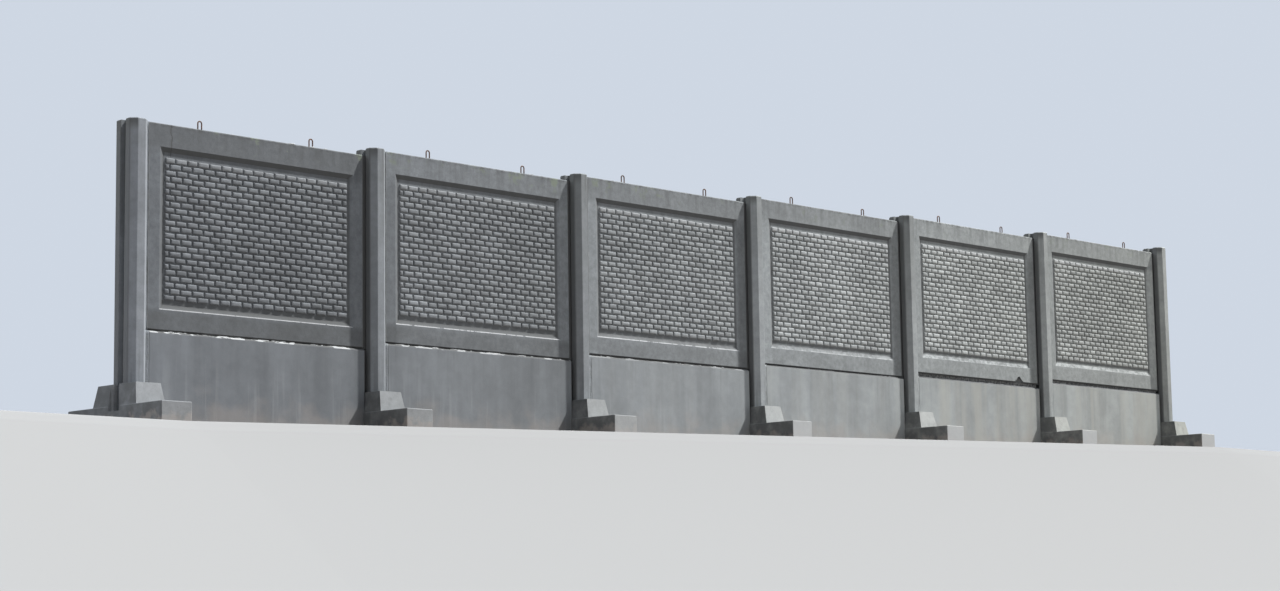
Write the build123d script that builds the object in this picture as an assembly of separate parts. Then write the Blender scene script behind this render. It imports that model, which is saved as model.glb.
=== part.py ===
from build123d import *
import os

# Precast concrete wall: posts, stepped socket footings, plinth panels, mortar beds and coffered upper panels
# +X runs along the wall, -Y is its coffered front, +Z is up; millimetres

# The run of bays, which climbs to +X in equal steps
bay_count = 6
bay_length = 3000
bay_step = 80

# Panels, thinned at both ends to tongues that stand in the slots of the posts
panel_thickness = 120
plinth_thickness = 180
tongue_thickness = 70
tongue_show = 55
upper_height = 2050
seam_height = 950
panel_end_gap = 10
ground_gap = 30

# Mortar beds between the plinth and upper panels, one height for each bay
bed_heights = [8, 8, 12, 10, 50, 40]
bed_recess = 28

# Arrises of the panels
top_arris = 10
seam_arris = 16
foot_arris = 10

# Coffer in the front face of an upper panel
coffer_side_margin = 130
coffer_top_margin = 230
coffer_bottom_margin = 210
coffer_depth = 22
coffer_bevel = 48

# Posts
post_width = 210
post_projection = 110
post_chamfer = 60
post_top_arris = 10
slot_depth = 60
slot_clearance = 5
slot_draft = 4

# Footings: a low toe block to both sides, with a battered pedestal on it
toe_width = 350
toe_height = 200
toe_projection = 420
toe_arris = 6
pedestal_height = 210
pedestal_projection = 300
pedestal_batter = 46
pedestal_side_batter = 26
socket_floor = 150
socket_clearance = 4
saddle_height = 150
notch_clearance = 12
cheek_clearance = 12

# Lifting loops, bent from round bar and cast into the top edge
loop_spacing = 1400
loop_width = 60
loop_height = 100
loop_bar = 14
loop_sides = 10
loop_embed = 90
loop_clearance = 0.5

# Sizes that follow from the ones above
panel_face = panel_thickness / 2
slot_floor_x = post_width / 2 - slot_depth
slot_half = tongue_thickness / 2 + slot_clearance
post_half_depth = panel_face + post_projection
post_height = seam_height + upper_height - socket_floor
tongue_end_x = slot_floor_x + panel_end_gap
tongue_root_x = post_width / 2 + tongue_show
panel_length = bay_length - 2 * tongue_end_x
body_length = bay_length - 2 * tongue_root_x
pedestal_half_depth = panel_face + pedestal_projection
toe_half_depth = pedestal_half_depth + toe_projection
notch_length = toe_width / 2 + notch_clearance - tongue_end_x
notch_height = saddle_height - ground_gap

os.makedirs("parts", exist_ok=True)


def post_x(index):
    """Centre of a post, counted from 0 at the low end."""
    return (index - bay_count / 2) * bay_length


def bay_x(index):
    """Centre of a bay, counted from 0 at the low end."""
    return post_x(index) + bay_length / 2


def level(index):
    """Height of the finished ground at a post, and through the bay on its +X side."""
    return index * bay_step


def post_outline(clearance=0):
    """Plan of a post without its slots, grown by a clearance."""
    width = post_width + 2 * clearance
    depth = 2 * (post_half_depth + clearance)
    return chamfer(Rectangle(width, depth).vertices(), post_chamfer)


def slot_plan(mouth_x):
    """Plan of the two drafted panel slots, open to the sides as far as mouth_x."""
    wide = slot_half + slot_draft
    lip_x = post_width / 2
    points = [
        (slot_floor_x, -slot_half),
        (lip_x, -wide),
        (mouth_x, -wide),
        (mouth_x, wide),
        (lip_x, wide),
        (slot_floor_x, slot_half),
    ]
    right = make_face(Polyline(*points, close=True))
    return right + mirror(right, Plane.YZ)


def make_post():
    """One post with its foot at z = 0."""
    body = extrude(post_outline(), post_height)
    top_edges = body.faces().sort_by(Axis.Z)[-1].edges()
    body = chamfer(top_edges, post_top_arris)
    slots = extrude(slot_plan(post_width), post_height)
    return body - slots


def make_footing(ground):
    """One footing that stands on z = 0, for finished ground at the height given."""
    toe_top = ground + toe_height
    pedestal_top = toe_top + pedestal_height
    toe = Pos(0, 0, toe_top / 2) * Box(toe_width, 2 * toe_half_depth, toe_top)
    upright = toe.edges().filter_by(Axis.Z)
    upper = toe.faces().sort_by(Axis.Z)[-1].edges()
    toe = chamfer(upright + upper, toe_arris)
    base = Rectangle(toe_width - 2 * toe_arris, 2 * pedestal_half_depth)
    head_width = toe_width - 2 * (toe_arris + pedestal_side_batter)
    head = Rectangle(head_width, 2 * (pedestal_half_depth - pedestal_batter))
    pedestal = loft([Pos(0, 0, toe_top) * base, Pos(0, 0, pedestal_top) * head])
    post_seat = ground + socket_floor
    socket_sketch = Pos(0, 0, post_seat) * post_outline(socket_clearance)
    socket = extrude(socket_sketch, pedestal_top - post_seat)
    slot_sketch = Pos(0, 0, saddle_height) * slot_plan(toe_width)
    slots = extrude(slot_sketch, pedestal_top - saddle_height)
    footing = toe + pedestal - socket - slots
    cheek_height = pedestal_top - saddle_height
    cheek_gap = Box(toe_width, plinth_thickness + 2 * slot_clearance, cheek_height)
    cheek_x = tongue_root_x - cheek_clearance + toe_width / 2
    cheek_z = saddle_height + cheek_height / 2
    footing -= Pos(cheek_x, 0, cheek_z) * cheek_gap
    return footing - Pos(-cheek_x, 0, cheek_z) * cheek_gap


def panel_blank(thickness, height, lower_arris, upper_arris):
    """A plain panel on z = 0 with its long arrises taken off and a tongue at each end."""
    half = thickness / 2
    points = [
        (-half + lower_arris, 0),
        (half - lower_arris, 0),
        (half, lower_arris),
        (half, height - upper_arris),
        (half - upper_arris, height),
        (-half + upper_arris, height),
        (-half, height - upper_arris),
        (-half, lower_arris),
    ]
    section = Plane.YZ * make_face(Polyline(*points, close=True))
    body = extrude(section, body_length / 2, both=True)
    return body + Pos(0, 0, height / 2) * Box(panel_length, tongue_thickness, height)


def upright_rectangle(width, bottom, top, y):
    """A rectangle in the plane of the wall, centred on x = 0."""
    plane = Plane((0, y, (bottom + top) / 2), x_dir=(1, 0, 0), z_dir=(0, -1, 0))
    return plane * Rectangle(width, top - bottom)


def make_coffer():
    """The bevelled recess that the relief of an upper panel lies in."""
    width = body_length - 2 * coffer_side_margin
    bottom = coffer_bottom_margin
    top = upper_height - coffer_top_margin
    mouth = upright_rectangle(width, bottom, top, -panel_face)
    field_y = coffer_depth - panel_face
    field_width = width - 2 * coffer_bevel
    field = upright_rectangle(field_width, bottom + coffer_bevel, top - coffer_bevel, field_y)
    return loft([mouth, field])


def loop_places():
    """Centres of the two lifting loops of a panel, along the wall."""
    return [-loop_spacing / 2, loop_spacing / 2]


def make_upper_panel():
    """One upper panel with its foot at z = 0."""
    panel = panel_blank(panel_thickness, upper_height, seam_arris, top_arris) - make_coffer()
    radius = loop_bar / 2 + loop_clearance
    bore = Pos(0, 0, upper_height - loop_embed / 2) * Cylinder(radius, loop_embed)
    leg = (loop_width - loop_bar) / 2
    for centre in loop_places():
        panel -= Pos(centre - leg, 0, 0) * bore
        panel -= Pos(centre + leg, 0, 0) * bore
    return panel


def make_plinth_panel(top):
    """One plinth panel, notched at its lower ends to sit on the saddles of two footings."""
    height = top - ground_gap
    panel = Pos(0, 0, ground_gap) * panel_blank(plinth_thickness, height, foot_arris, seam_arris)
    notch = Box(notch_length, plinth_thickness, notch_height)
    notch_x = (panel_length - notch_length) / 2
    notch_z = ground_gap + notch_height / 2
    panel -= Pos(-notch_x, 0, notch_z) * notch
    return panel - Pos(notch_x, 0, notch_z) * notch


def make_bed(height):
    """One mortar bed with its foot at z = 0, set back from both faces of the upper panel."""
    return Pos(0, 0, height / 2) * Box(body_length, panel_thickness - 2 * bed_recess, height)


def make_loop():
    """One lifting loop whose legs reach down into the panel below z = 0."""
    leg = (loop_width - loop_bar) / 2
    bend = loop_height - loop_bar / 2 - leg
    left = Line((-leg, 0, -loop_embed), (-leg, 0, bend))
    crown = ThreePointArc((-leg, 0, bend), (0, 0, bend + leg), (leg, 0, bend))
    right = Line((leg, 0, bend), (leg, 0, -loop_embed))
    foot = Plane((-leg, 0, -loop_embed), z_dir=(0, 0, 1))
    section = foot * RegularPolygon(loop_bar / 2, loop_sides)
    return sweep(section, left + crown + right)


post = make_post()
upper_panel = make_upper_panel()
loop = make_loop()

for index in range(bay_count + 1):
    name = index + 1
    ground = level(index)
    placed_post = Pos(post_x(index), 0, ground + socket_floor) * post
    export_step(placed_post, f"parts/post_{name}.step")
    footing = Pos(post_x(index), 0, 0) * make_footing(ground)
    export_step(footing, f"parts/footing_{name}.step")

for index in range(bay_count):
    name = index + 1
    centre = bay_x(index)
    seam = level(index) + seam_height
    bed_foot = seam - bed_heights[index]
    plinth_panel = Pos(centre, 0, 0) * make_plinth_panel(bed_foot)
    export_step(plinth_panel, f"parts/plinth_panel_{name}.step")
    bed = Pos(centre, 0, bed_foot) * make_bed(bed_heights[index])
    export_step(bed, f"parts/mortar_bed_{name}.step")
    placed_panel = Pos(centre, 0, seam) * upper_panel
    export_step(placed_panel, f"parts/upper_panel_{name}.step")
    top = seam + upper_height
    loops = Compound([Pos(centre + place, 0, top) * loop for place in loop_places()])
    export_step(loops, f"parts/lifting_loops_{name}.step")
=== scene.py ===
import math
import random

import bpy
import numpy as np
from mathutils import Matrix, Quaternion, Vector, noise


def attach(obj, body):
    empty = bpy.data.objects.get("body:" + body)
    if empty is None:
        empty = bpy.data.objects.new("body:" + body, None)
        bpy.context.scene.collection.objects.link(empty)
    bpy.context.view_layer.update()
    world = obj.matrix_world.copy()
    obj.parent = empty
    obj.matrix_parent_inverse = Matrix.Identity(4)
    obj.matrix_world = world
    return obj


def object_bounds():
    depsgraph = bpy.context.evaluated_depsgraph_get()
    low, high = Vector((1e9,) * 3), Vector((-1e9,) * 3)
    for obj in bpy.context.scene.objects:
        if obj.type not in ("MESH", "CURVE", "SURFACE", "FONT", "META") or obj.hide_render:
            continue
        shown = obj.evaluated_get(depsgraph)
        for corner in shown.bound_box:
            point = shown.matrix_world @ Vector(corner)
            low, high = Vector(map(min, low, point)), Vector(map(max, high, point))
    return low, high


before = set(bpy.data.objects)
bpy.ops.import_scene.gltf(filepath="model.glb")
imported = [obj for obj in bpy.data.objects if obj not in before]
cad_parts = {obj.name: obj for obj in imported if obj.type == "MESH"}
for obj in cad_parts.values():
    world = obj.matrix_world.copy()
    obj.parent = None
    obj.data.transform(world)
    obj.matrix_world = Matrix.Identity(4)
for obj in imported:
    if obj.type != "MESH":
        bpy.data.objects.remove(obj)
cad_low, cad_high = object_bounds()

# The run of bays, in metres
BAYS = 6
BAY = 3.0
STEP = 0.08
RUN_START = -BAY * BAYS / 2
SEAM_HEIGHT = 0.95
WALL_HEIGHT = 3.0
BED_HEIGHTS = (0.008, 0.008, 0.012, 0.010, 0.050, 0.040)
LOOP_PLACES = (-0.7, 0.7)

# Faces of the castings, measured from the wall's middle plane
PANEL_FACE = -0.06
PLINTH_FACE = -0.09
TONGUE_FACE = -0.035
FIELD_Y = -0.038

# Places beside a post, measured from its centre, and heights on its footing
POST_SIDE = 0.105
PANEL_END = 0.160
TOE_TOP = 0.20
PEDESTAL_TOP = 0.412

# The brick relief that is cast in the coffer's field, with heights from the panel's foot
RELIEF_WIDTH = 2.296
RELIEF_FOOT = 0.304
RELIEF_TOP = 1.722
COURSES = 23
BRICKS_PER_COURSE = 17
JOINT = 0.010
UPRIGHT_JOINT = 0.015
SHORTEST_BRICK = 0.04

# Depths of a brick: how far it stands out, what is kept back for lean and skin, its bulge, its sunk back
BRICK_PROUD = 0.017
BRICK_ROOM = 0.003
BRICK_BULGE = 0.0015
BRICK_SINK = 0.001

# Grid of a brick's face: lines over its rounded edges, as parts of the rounding, and spans between
BRICK_ROUND = 0.011
ROUND_LINES = (0, 0.2, 0.55, 1)
BRICK_SPAN = 0.028
UPWARD_SPANS = 3

# How much the bricks differ from one another
END_SPREAD = 0.010
FOOT_SPREAD = 0.002
LENGTH_SPREAD = 0.003
HEIGHT_SPREAD = (-0.004, 0.0025)
LEAN_UPWARD = (-0.045, 0.050)
LEAN_ALONG = 0.014
PROUD_SPREAD = 0.0015
TONE_SPREAD = (0.80, 1.14)

# Rough skin of a brick: coarse grains a metre along and upward, and finer ones, and how far they stand out
BRICK_GRAINS = (38, 60)
COARSE_SKIN = 0.0022
TIMES_FINER = 2.7
FINE_SKIN = 0.0010

# Mortar in the upright joints beside the posts: its gaps, its grid and hollow, and its rough skin
MORTAR_BACK = 0.002
MORTAR_TOP_GAP = 0.012
HAIR = 0.0005
STRIP_COLUMNS = 5
STRIP_ROW = 0.03
STRIP_HOLLOW = 0.0015
STRIP_COARSE_GRAINS = (30, 14)
STRIP_COARSE_SKIN = 0.002
STRIP_FINE_GRAINS = (90, 60)
STRIP_FINE_SKIN = 0.001

# Lumps of mortar on the seam of each bay, and as many of laitance on its top edge
CRUMBS = (20, 16, 12, 8, 8, 8)
CRUMB_LENGTHS = (0.012, 0.02, 0.035, 0.05, 0.075)
CRUMB_DEPTHS = (0.004, 0.007)
CRUMB_HEIGHTS = (0.003, 0.006)
CRUMB_OUT = (0.002, 0.010)
CRUMB_LIFT = 0.001
SEAM_REACH = 1.22
LAITANCE_SIZES = ((0.012, 0.045), (0.006, 0.014), (0.003, 0.009))
LAITANCE_ACROSS = (-0.045, 0.035)
LOOP_SPREAD = 0.22
TOP_REACH = 1.25

# Shape of one lump
LUMP_RING = 0.012
FEWEST_RINGS = 5
LUMP_SIDES = 7
LUMP_BLUNT = 0.7
LUMP_GRAINS = 45
LUMP_ROUGH = 0.75

# Starts of the random draws, and the range that the place of a noise is drawn from
BRICK_DRAWS = 7
CRUMB_DRAWS = 40
JOINT_DRAWS = 80
CHIP_DRAWS = 5
NOISE_REACH = 50

# Rounding of the cast edges
WELD_REACH = 0.0002
ARRIS_ROUND = 0.004
ARRIS_SEGMENTS = 2
ARRIS_ANGLE = math.radians(20)

# Chipped place at the foot of a panel
CHIPPED_PANEL = "upper_panel_5"
CHIP_PLACE = (5.42, -0.066, 1.262)
CHIP_REACH = (0.095, 0.042, 0.080)

# Camera: where the photograph was taken from, turned and zoomed to the six bays
CAMERA_PLACE = Vector((-22.952, -20.406, -1.994))
CAMERA_AIM = Vector((-1.941, 0.0, 1.866))
CAMERA_ROLL = math.radians(-0.9)
CAMERA_LENS = 71.25
CAMERA_REACH = 500

# Light: a soft sun from the right and in front, a sky that is brighter there, and a soft light behind
SUN_AZIMUTH = math.radians(69)
SUN_ELEVATION = math.radians(54)
SUN_SOFTNESS = math.radians(2)
SUN_STRENGTH = 7.2
SKY_STRENGTH = 0.47
SKY_COLOUR = (0.90, 0.96, 1.06)
SKY_BRIGHT_SIDE = (0.75, -0.45, 0.45)
SKY_COSINES = (-1.0, 1.0)
SKY_LEVELS = (0.3 * SKY_STRENGTH, 1.5 * SKY_STRENGTH)
REAR_SIDE = (-0.50, 0.75, 0.45)
REAR_COSINES = (0.1, 0.9)
REAR_LEVELS = (0.0, 1.5)
BACKDROP = (0.62, 0.68, 0.77)

# Floor: its reach, the gap from the footings to its crest, and the bank out from and below the crest
FLOOR_REACH = 120
CREST_GAP = 0.16
BANK = ((0, 0), (0.10, 0.02), (0.24, 0.10), (5.2, 3.55), (5.6, 3.7))
FLOOR_BOUNCE = (0.22, 0.20, 0.18)
FLOOR_SEEN = (0.265, 0.265, 0.26)
FADE_ALONG = (11.0, 22.0)
FADE_ACROSS = (4.0, 12.0)

# Colours of the clean castings, and the tints of the run's low and high ends
CONCRETE = (0.268, 0.281, 0.292)
CONCRETE_PLINTH = (0.290, 0.304, 0.316)
CONCRETE_POST = (0.276, 0.287, 0.298)
CONCRETE_FOOT = (0.290, 0.293, 0.290)
CONCRETE_BRICK = (0.318, 0.328, 0.336)
COOL = (0.97, 1.00, 1.04)
WARM = (1.05, 1.05, 0.96)

# Colours of stains, mortar and rust, and of painted light and shade: grime also serves as painted shade,
# lime also as a painted highlight
# Grime, also painted shade in shaded corners, recesses, bevels and sides
GRIME_AND_SHADE = (0.070, 0.072, 0.071)
DAMP = (0.105, 0.112, 0.100)
# Painted light: a pale colour that hides the shade in the recess beside each post's high side
PAINTED_SLOT_LIGHT = (0.400, 0.400, 0.390)
LICHEN = (0.185, 0.215, 0.155)
# Lime, also a painted highlight on the plinth's lit arris and on the top course of bricks
LIME_AND_HIGHLIGHT = (0.440, 0.450, 0.450)
# Painted highlight along the sill's lit arris
PAINTED_ARRIS_HIGHLIGHT = (0.640, 0.650, 0.650)
PALE_RUN = (0.365, 0.362, 0.325)
MORTAR = (0.200, 0.200, 0.195)
SOIL = (0.345, 0.300, 0.262)
RUST = (0.150, 0.072, 0.040)
RUST_DARK = (0.055, 0.032, 0.024)

# Tone of each bay's castings and mortar, and of each post and footing, from the low end. Castings, joints,
# posts and footings darken towards the low end as painted shade, for the real run's bend away from the sun,
# which the straight wall lacks, on top of their own tones
PANEL_TONES = (0.51, 0.69, 0.81, 0.92, 0.98, 1.0)
LOW_MARGIN_TONES = (0.92, 0.74, 1.07, 1.17, 0.97, 0.86)
# Margins on the low side of each post, where its shadow falls: painted shade, deeper in some bays and paler
# in others
SHADOW_MARGIN_TONES = (1.12, 1.14, 0.68, 0.77, 0.73, 1.14)
PLINTH_TONES = (0.52, 0.60, 0.77, 0.98, 1.0, 0.98)
BRICK_TONES = (0.47, 0.60, 0.73, 0.96, 1.06, 0.94)
JOINT_TONES = (0.60, 0.66, 0.86, 1.02, 0.98, 0.92)
CRUMB_TONES = (1.0, 0.95, 0.8, 0.55, 0.45, 0.45)
POST_TONES = (0.74, 0.79, 0.86, 1.10, 1.03, 1.07, 1.03)
FOOTING_TONES = (0.74, 0.76, 0.86, 1.0, 1.0, 1.0, 1.0)

# Strength of stains, and of painted shade and highlights, in each bay, or on each post and footing, from the
# low end
HEAD_GRIME = (0.40, 0.07, 0.22, 0.21, 0.0, 0.24)
RAIL_GRIME = (0.52, 0.43, 0.18, 0.05, 0.02, 0.20)
RAIL_BLOTS = (1.0, 1.0, 0.8, 0.4, 0.15, 0.1)
TOP_LICHEN = (1.0, 1.0, 0.9, 0.6, 0.4, 0.4)
# Painted shade on the field under the relief, and a darker sill, strongest at the low end
COFFER_DARKENING = (1.0, 1.0, 0.8, 0.3, 0.0, 0.0)
SILL_WHOLE = (0.08, 0.07, 0.04, 0.0, 0.0, 0.0)
# Painted highlight along the sill's lit arris
SILL_ARRIS_HIGHLIGHT = (0.42, 0.54, 0.60, 0.34, 0.20, 0.20)
SILL_LIME = (0.0, 0.0, 0.1, 0.2, 0.2, 0.2)
SILL_SPOTS = (0.3, 0.3, 0.5, 0.8, 1.0, 1.0)
# Painted highlight on the top course of bricks
TOP_COURSE_HIGHLIGHT = (0.35, 0.4, 0.7, 1.0, 1.0, 1.0)
PLINTH_RUNS = (0.0, 0.0, 0.1, 0.3, 1.0, 1.0)
# Painted highlight on the plinth's lit arris
LEDGE_HIGHLIGHT = (0.8, 0.55, 0.25, 0.0, 0.0, 0.0)
# Painted shade on each post's chamfer that faces the low end
CHAMFER_SHADE = (0.10, 0.20, 0.30, 0.0, 0.22, 0.0, 0.10)
TOE_LIME = (0.1, 0.1, 0.4, 0.9, 0.8, 0.9, 0.9)
PEDESTAL_LIME = (0.07, 0.07, 0.08, 0.14, 0.18, 0.0, 0.0)

# Heights above the finished ground, where a stain begins and where it is full
TOP_DRIPS = (WALL_HEIGHT - 0.34, WALL_HEIGHT)
TOP_RIM = (WALL_HEIGHT - 0.05, WALL_HEIGHT - 0.01)
LICHEN_ZONE = (WALL_HEIGHT - 0.24, WALL_HEIGHT - 0.04)
HEAD = (WALL_HEIGHT - 0.34, WALL_HEIGHT - 0.20)
BELOW_HEAD = (WALL_HEIGHT - 0.20, WALL_HEIGHT - 0.40)
RAIL = (SEAM_HEIGHT + 0.24, SEAM_HEIGHT + 0.16)
PANEL_FOOT = (SEAM_HEIGHT + 0.10, SEAM_HEIGHT + 0.05)
PLINTH_DRIPS = (0.10, 0.95)
PLINTH_WASH = (0.90, 0.30)
PLINTH_SOIL = (0.36, 0.06)
PLINTH_FOOT = (0.07, 0.03)
POST_TOP_DRIPS = (WALL_HEIGHT - 0.5, WALL_HEIGHT)
POST_HEAD = (WALL_HEIGHT - 0.14, WALL_HEIGHT - 0.03)
POST_DULL = (WALL_HEIGHT - 1.5, WALL_HEIGHT - 0.3)
POST_FOOT_DRIPS = (1.10, 0.45)
TOE_SOIL = (0.10, 0.02)
BELOW_TOE_TOP = (TOE_TOP + 0.01, TOE_TOP - 0.01)
ABOVE_TOE_TOP = (TOE_TOP, TOE_TOP + 0.02)

# In the same way, heights above the upper panel's foot
COFFER_HOOD = (1.70, 1.76)
FIELD_FOOT = (0.315, 0.30)
ABOVE_SILL = (0.272, 0.284)
SILL = (0.30, 0.28)
TOP_COURSE = (1.654, 1.664)

# In the same way, distances from the nearest post's centre
TONGUE = (PANEL_END + 0.004, PANEL_END - 0.001)
MARGIN = (0.33, 0.27)
RELIEF_SIDE = (0.360, 0.350)

# In the same way, depths from the wall's middle plane, the last two to both sides
COFFER_MOUTH = (PANEL_FACE, PANEL_FACE + 0.003)
COFFER_FIELD = (FIELD_Y + 0.0018, FIELD_Y + 0.0008)
COFFER_DEEP = (-0.050, -0.041)
SILL_RIM = (-0.0530, -0.0575)
BRICK_JOINTS = (FIELD_Y - BRICK_PROUD * 0.5, FIELD_Y)
NEAR_PANEL = (0.124, 0.108)
IN_SLOT = (0.042, 0.036)

# In the same way, how far a face turns to one side, as that part of its normal
TO_FRONT = (-0.4, -0.8)
SQUARE_TO_FRONT = (-0.85, -0.95)
TO_BACK = (0.4, 0.8)
LEVEL_TOP = (0.75, 0.95)
SILL_SLOPE = (0.05, 0.2)
ARRIS_SLOPE = (0.15, 0.4)
DOWNWARD = (-0.15, -0.35)
TO_HIGH_END = (0.15, 0.35)
TO_LOW_END = (-0.5, -0.7)
HEAD_TO_LOW_END = (-0.3, -0.7)
SHADED = (-0.5, -0.85)
CHAMFER = (-0.5, -0.6)

# Crack down from the top edge of the lowest bay: its place and wander, and in the same way its parts
CRACK_X = -8.58
CRACK_WANDER = 0.09
CRACK_FOOT = (2.64, 2.72)
CRACK_REACH = (0.2, 0.1)
CRACK_WIDTH = (0.0055, 0.0025)
CRACK_STAIN = (0.03, 0.0)

# Painted shade in the chipped place, in the same way, by distance from it and by depth
CHIP_SHADE = (0.13, 0.12)
CHIP_MOUTH = (PANEL_FACE, PANEL_FACE + 0.0015)

# Parts of a noise's range, and the middle part of a bay's length
NOISE_MIDDLE = (0.3, 0.7)
NOISE_MOST = (0.2, 0.8)
BAY_MIDDLE = (0.4, 0.6)

# Air holes: the share of cells without one, and the part of a hole's radius where it is full
CELLS_WHOLE = 0.6
PORE_FULL = 0.6


# Node trees

class Graph:
    """Builds the node tree of one material with few words."""

    def __init__(self, name):
        self.material = bpy.data.materials.new(name)
        self.material.use_nodes = True
        self.tree = self.material.node_tree
        self.shader = self.tree.nodes["Principled BSDF"]
        self.place = self.node("ShaderNodeTexCoord").outputs["Object"]
        self.x, self.y, self.z = self.parts(self.place)
        normal = self.node("ShaderNodeNewGeometry").outputs["Normal"]
        self.normal_x, self.normal_y, self.normal_z = self.parts(normal)

    def feed(self, socket, value):
        """Links a socket, or sets it to a constant."""
        if isinstance(value, bpy.types.NodeSocket):
            self.tree.links.new(value, socket)
        else:
            socket.default_value = value

    def node(self, kind, inputs=None, **settings):
        """Adds a node with its settings, and feeds its inputs."""
        made = self.tree.nodes.new(kind)
        for key, value in settings.items():
            setattr(made, key, value)
        for key, value in (inputs or {}).items():
            self.feed(made.inputs[key], value)
        return made

    def parts(self, vector):
        """The x, y and z of a vector."""
        return self.node("ShaderNodeSeparateXYZ", {0: vector}).outputs

    def math(self, operation, a, b=0.0):
        """One step of arithmetic."""
        return self.node("ShaderNodeMath", {0: a, 1: b}, operation=operation).outputs[0]

    def product(self, *values):
        """All the values multiplied."""
        result = values[0]
        for value in values[1:]:
            result = self.math("MULTIPLY", result, value)
        return result

    def total(self, *terms):
        """Sum of (value, weight) terms."""
        result = 0.0
        for value, weight in terms:
            result = self.math("ADD", result, self.math("MULTIPLY", value, weight))
        return result

    def fit(self, value, low, high, to_low=0.0, to_high=1.0):
        """Maps low..high smoothly to to_low..to_high, and no further."""
        inputs = {"Value": value, "From Min": low, "From Max": high, "To Min": to_low, "To Max": to_high}
        return self.node("ShaderNodeMapRange", inputs, interpolation_type="SMOOTHSTEP").outputs[0]

    def fit_linear(self, value, low, high):
        """Maps low..high evenly to 0..1."""
        inputs = {"Value": value, "From Min": low, "From Max": high}
        return self.node("ShaderNodeMapRange", inputs).outputs[0]

    def vary(self, value, amount):
        """Turns a noise into a factor that lies about 1, up to an amount above and below."""
        return self.fit(value, *NOISE_MIDDLE, 1 - amount, 1 + amount)

    def noise(self, scale, detail=3.0, roughness=0.55, stretch=(1, 1, 1), offset=0.0, warp=0.0):
        """Fractal noise about 0.5, with as many grains a metre as scale says."""
        inputs = {"Vector": self.place, "Scale": stretch, "Location": (offset, offset, offset)}
        place = self.node("ShaderNodeMapping", inputs).outputs[0]
        inputs = {"Vector": place, "Scale": scale, "Detail": detail, "Roughness": roughness}
        inputs["Distortion"] = warp
        return self.node("ShaderNodeTexNoise", inputs).outputs[0]

    def streaks(self, across, upward, detail, offset):
        """Upright streaks: a noise with so many grains a metre across and upward."""
        return self.noise(1.0, detail=detail, stretch=(across, across, upward), offset=offset)

    def pores(self, scale, radius):
        """1 in small round air holes, in some of the cells."""
        cells = self.node("ShaderNodeTexVoronoi", {"Vector": self.place, "Scale": scale})
        chance = self.node("ShaderNodeSeparateColor", {0: cells.outputs["Color"]}).outputs[0]
        some = self.math("GREATER_THAN", chance, CELLS_WHOLE)
        return self.math("MULTIPLY", self.fit(cells.outputs["Distance"], radius, radius * PORE_FULL), some)

    def scale(self, colour, factor):
        """A colour, lighter or darker by a factor."""
        inputs = {0: colour, "Scale": factor}
        return self.node("ShaderNodeVectorMath", inputs, operation="SCALE").outputs[0]

    def mix(self, factor, a, b):
        """A blend of two colours or values, all a at 0 and all b at 1."""
        made = self.node("ShaderNodeMix", data_type="RGBA")
        for key, value in ((0, factor), (6, a), (7, b)):
            self.feed(made.inputs[key], (*value, 1.0) if isinstance(value, tuple) else value)
        return made.outputs[2]

    def cover(self, body, colour, strength, *masks):
        """Covers a colour with another one, as strongly as the masks allow."""
        return self.mix(self.product(*masks, strength), body, colour)

    def bays(self, shift=0.0):
        """Place along the wall in bays, counted from the run's start less the shift."""
        return self.math("DIVIDE", self.math("SUBTRACT", self.x, RUN_START - shift), BAY)

    def height(self, shift=0.0):
        """Height above the finished ground of the bay, or of the post when shift is half a bay."""
        level = self.math("MULTIPLY", self.math("FLOOR", self.bays(shift)), STEP)
        return self.math("SUBTRACT", self.z, level)

    def uneven(self, height, scale, offset, reach):
        """A height that wanders up and down by a reach, for the edge of a stain."""
        waves = self.noise(scale, detail=6, offset=offset)
        return self.math("ADD", height, self.fit(waves, *NOISE_MOST, -reach, reach))

    def high_half(self):
        """1 in the half of a bay towards the high end, 0 in the other half."""
        return self.fit(self.math("FRACT", self.bays()), *BAY_MIDDLE)

    def post_distance(self):
        """Distance along the wall from the nearest post's centre."""
        return self.math("PINGPONG", self.math("SUBTRACT", self.x, RUN_START), BAY / 2)

    def along(self, tones, shift=0.0):
        """One tone for each bay, or for each post when shift is half a bay."""
        start = RUN_START - shift
        ramp = self.node("ShaderNodeValToRGB", {0: self.fit_linear(self.x, start, start + BAY * len(tones))})
        ramp.color_ramp.interpolation = "CONSTANT"
        stops = ramp.color_ramp.elements
        while len(stops) < len(tones):
            stops.new(0.5)
        for index, tone in enumerate(tones):
            stops[index].position = index / len(tones)
            stops[index].color = (tone, tone, tone, 1.0)
        return ramp.outputs[0]

    def finish(self, colour, relief, roughness, depth):
        """Feeds the shader, with a relief of so many metres' depth, and returns the material."""
        self.feed(self.shader.inputs["Base Color"], colour)
        self.feed(self.shader.inputs["Roughness"], roughness)
        bump = self.node("ShaderNodeBump", {"Height": relief, "Distance": depth, "Strength": 1.0})
        self.feed(self.shader.inputs["Normal"], bump.outputs[0])
        return self.material


# Materials

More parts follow.
